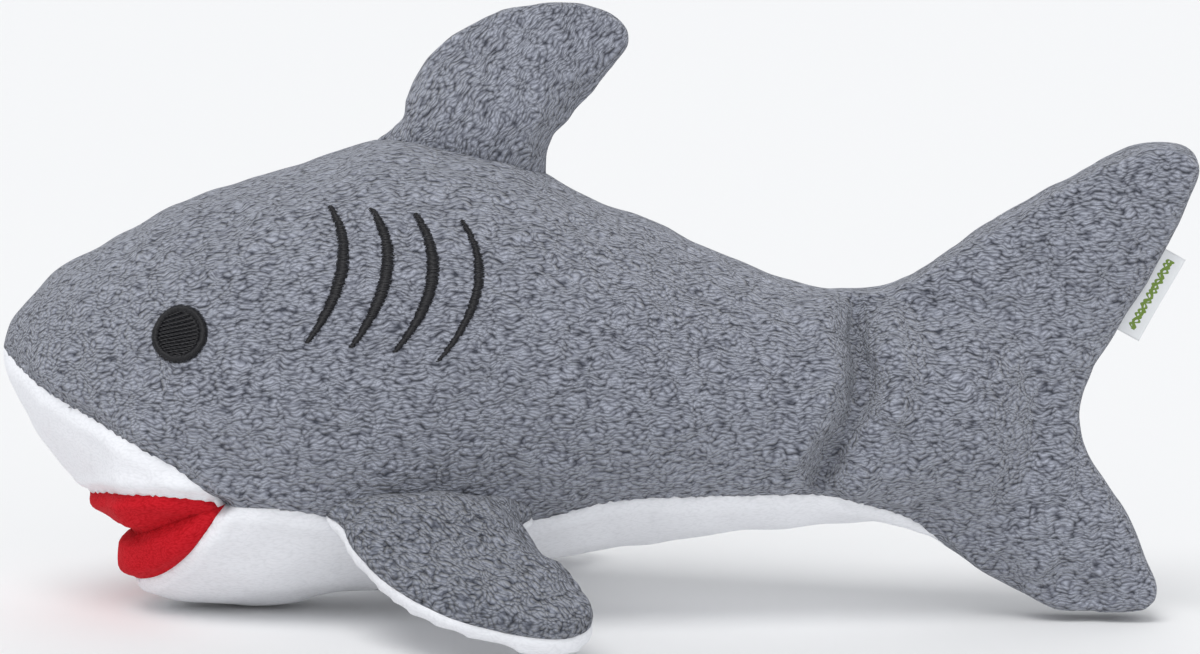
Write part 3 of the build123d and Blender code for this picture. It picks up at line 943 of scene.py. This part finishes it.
# %% [markdown]
# Embroidery thread is smooth and a little shiny along its length, and dark enough that only its
# highlights show. The ribbon is white satin, with plain wavy green lines along each of its sides.
# %% Thread, ribbon and filling materials
thread = bpy.data.materials.new("black satin thread")
thread.use_nodes = True
thread_tree = thread.node_tree
thread_shader = thread_tree.nodes["Principled BSDF"]
thread_noise = node(thread_tree, "ShaderNodeTexNoise", Scale=2600.0, Detail=2.0)
thread_where = thread_tree.nodes.new("ShaderNodeTexCoord")
thread_tree.links.new(thread_where.outputs["Object"], thread_noise.inputs["Vector"])
thread_colour = node(thread_tree, "ShaderNodeMix", data_type="RGBA")
thread_colour.inputs[6].default_value = srgb(9, 9, 12)
thread_colour.inputs[7].default_value = srgb(26, 25, 31)
thread_tree.links.new(thread_noise.outputs[0], thread_colour.inputs["Factor"])
thread_tree.links.new(thread_colour.outputs[2], thread_shader.inputs["Base Color"])
thread_shader.inputs["Roughness"].default_value = 0.42
thread_shader.inputs["Specular IOR Level"].default_value = 0.45

satin = bpy.data.materials.new("white satin ribbon")
satin.use_nodes = True
satin_tree = satin.node_tree
satin_shader = satin_tree.nodes["Principled BSDF"]
satin_map = satin_tree.nodes.new("ShaderNodeUVMap")
satin_weave = node(satin_tree, "ShaderNodeTexWave", Scale=34.0, Distortion=0.4)
satin_weave.bands_direction = "X"
satin_tree.links.new(satin_map.outputs[0], satin_weave.inputs["Vector"])
satin_uv = satin_tree.nodes.new("ShaderNodeSeparateXYZ")
satin_tree.links.new(satin_map.outputs[0], satin_uv.inputs[0])
LINE_PLACES = (0.30, 0.70)
LINE_HALF = 0.020
marks = None
for turns, phase, reach in ((52.0, 0.0, 0.050), (52.0, 2.4, 0.036), (31.0, 1.0, 0.030)):
    turned = math_node(satin_tree, "MULTIPLY", satin_uv.outputs[0], turns)
    turned = math_node(satin_tree, "ADD", turned, phase)
    wave = math_node(satin_tree, "MULTIPLY", math_node(satin_tree, "SINE", turned), reach)
    across = math_node(satin_tree, "ADD", satin_uv.outputs[1], wave)
    for place in LINE_PLACES:
        away = math_node(satin_tree, "ABSOLUTE", math_node(satin_tree, "SUBTRACT", across, place))
        mark = math_node(satin_tree, "LESS_THAN", away, LINE_HALF)
        marks = mark if marks is None else math_node(satin_tree, "MAXIMUM", marks, mark)
from_middle = math_node(satin_tree, "ABSOLUTE", math_node(satin_tree, "SUBTRACT", satin_uv.outputs[0], 0.5))
clear_ends = math_node(satin_tree, "LESS_THAN", from_middle, 0.42)
marks = math_node(satin_tree, "MULTIPLY", marks, clear_ends)
satin_colour = node(satin_tree, "ShaderNodeMix", data_type="RGBA")
satin_colour.inputs[6].default_value = srgb(236, 238, 240)
satin_colour.inputs[7].default_value = srgb(112, 142, 44)
satin_tree.links.new(marks, satin_colour.inputs["Factor"])
satin_tree.links.new(satin_colour.outputs[2], satin_shader.inputs["Base Color"])
satin_bump = node(satin_tree, "ShaderNodeBump", Distance=0.0001, Strength=0.4)
satin_tree.links.new(satin_weave.outputs["Color"], satin_bump.inputs["Height"])
satin_tree.links.new(satin_bump.outputs[0], satin_shader.inputs["Normal"])
satin_shader.inputs["Roughness"].default_value = 0.38

fibre = pile_cloth("polyester fibre", srgb(200, 200, 200), srgb(225, 225, 225), srgb(240, 240, 240), tuft=0.5)
print("thread, ribbon and filling made")

# %% [markdown]
# Now each piece is given its finish, and the imported solids that it stands for are hidden. Most
# pieces are attached to the body that they move with; the cloth that crosses the tail's bend, and the
# filling, are attached to no body and stay where they are.
# %% Hand each piece over
def dress(piece, material, nodes):
    piece.data.materials.clear()
    piece.data.materials.append(material)
    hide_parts(*nodes)


BODY_CLOTHS = {
    "back_cloth_left": (grey_body, "grey_pile", ["body_panel_left", "tail_panel_left"]),
    "back_cloth_right": (grey_body, "grey_pile", ["body_panel_right", "tail_panel_right"]),
    "belly_cloth": (white_body, "white_pile", ["belly_panel", "tail_underside"]),
    "snout_cloth": (white_body, "white_pile", ["snout_underside"]),
    "mouth_cloth_upper": (red_mouth, "red_pile", ["mouth_upper"]),
    "mouth_cloth_lower": (red_mouth, "red_pile", ["mouth_lower"]),
}
for name, (material, slot, nodes) in BODY_CLOTHS.items():
    dress(panels[name], material, nodes)
    if len(nodes) > 1:
        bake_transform(panels[name])
    else:
        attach(panels[name], "trunk")
dress(core, fibre, ["body_filling", "tail_filling"])
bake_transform(core)

FIN_NODES = {
    "dorsal_cloth_left": (grey_dorsal, "grey_pile", "dorsal_fin_panel_left"),
    "dorsal_cloth_right": (grey_dorsal, "grey_pile", "dorsal_fin_panel_right"),
    "pectoral_cloth_left_upper": (grey_pectoral_shaded, "grey_pile", "pectoral_left_upper"),
    "pectoral_cloth_left_lower": (white_body, "white_pile", "pectoral_left_lower"),
    "pectoral_cloth_right_upper": (grey_pectoral_shaded, "grey_pile", "pectoral_right_upper"),
    "pectoral_cloth_right_lower": (white_body, "white_pile", "pectoral_right_lower"),
}
FILLING_NODES = {"dorsal_fin": "dorsal_fin_filling", "pectoral_fin_left": "pectoral_left_filling",
                 "pectoral_fin_right": "pectoral_right_filling"}
for body, (cloths, filling) in fins.items():
    for name, cloth in cloths.items():
        material, slot, replaced = FIN_NODES[name]
        dress(cloth, material, [replaced])
        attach(cloth, body)
    dress(filling, fibre, [FILLING_NODES[body]])
    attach(filling, body)
for replaced, patch in patches.items():
    dress(patch, thread, [replaced])
    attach(patch, "trunk")
dress(label, satin, ["label"])
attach(label, "label")

# %% [markdown]
# The toy is lit as for a catalogue: one wide soft light above and in front, two weaker ones low in
# front and on the far side, and a pale surround that fills the shadows. The camera stands a metre away,
# a little above the toy, with a long lens, so the fins hardly grow towards it.
# %% Floor, lights and camera
FLOOR_SIZE = 400.0
bpy.ops.mesh.primitive_plane_add(size=FLOOR_SIZE, location=(0, 0, -0.0006))
floor = bpy.context.object
floor.name = "floor"
floor_paint = bpy.data.materials.new("pale floor")
floor_paint.use_nodes = True
floor_paint.node_tree.nodes["Principled BSDF"].inputs["Base Color"].default_value = (0.86, 0.86, 0.86, 1)
floor_paint.node_tree.nodes["Principled BSDF"].inputs["Roughness"].default_value = 0.9
floor.data.materials.append(floor_paint)
floor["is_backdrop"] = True


def sun(name, place, angle, power):
    """A very distant soft light, so that the floor is lit evenly all over."""
    data = bpy.data.lights.new(name, "SUN")
    data.angle = math.radians(angle)
    data.energy = power
    lamp = bpy.data.objects.new(name, data)
    lamp.rotation_euler = (-Vector(place)).to_track_quat("-Z", "Y").to_euler()
    bpy.context.scene.collection.objects.link(lamp)


sun("key", (-0.5, -0.9, 1.9), 35, 1.35)
sun("front fill", (0.3, -1.6, 0.35), 60, 0.55)
sun("back fill", (0.2, 1.5, 1.2), 60, 0.35)
world = bpy.data.worlds.new("surround")
world.use_nodes = True
world.node_tree.nodes["Background"].inputs["Color"].default_value = (0.95, 0.97, 1.0, 1)
world.node_tree.nodes["Background"].inputs["Strength"].default_value = 0.62
bpy.context.scene.world = world
bpy.context.scene.view_settings.view_transform = "Standard"

CAMERA_DISTANCE = 1.0
CAMERA_ELEVATION = math.radians(6)
CAMERA_ROLL = math.radians(0.85)
TARGET = Vector(((cad_low[0] + cad_high[0]) / 2, 0, 0.0856))
camera_data = bpy.data.cameras.new("camera")
camera_data.lens = 100
camera_data.sensor_width = 36
camera = bpy.data.objects.new("camera", camera_data)
bpy.context.scene.collection.objects.link(camera)
from_target = Vector((0, -math.cos(CAMERA_ELEVATION), math.sin(CAMERA_ELEVATION)))
camera.location = TARGET + CAMERA_DISTANCE * from_target
facing = (TARGET - camera.location).to_track_quat("-Z", "Y").to_matrix()
camera.rotation_euler = (facing @ Matrix.Rotation(CAMERA_ROLL, 3, "Z")).to_euler()
bpy.context.scene.camera = camera

# %% [markdown]
# Last, the size of what was made is printed beside the size of the imported model.
# %% Sizes
import json

low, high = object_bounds()
visual_size = [round(b - a, 4) for a, b in zip(low, high)]
print("visual size", visual_size, "cad", [round(b - a, 4) for a, b in zip(cad_low, cad_high)])
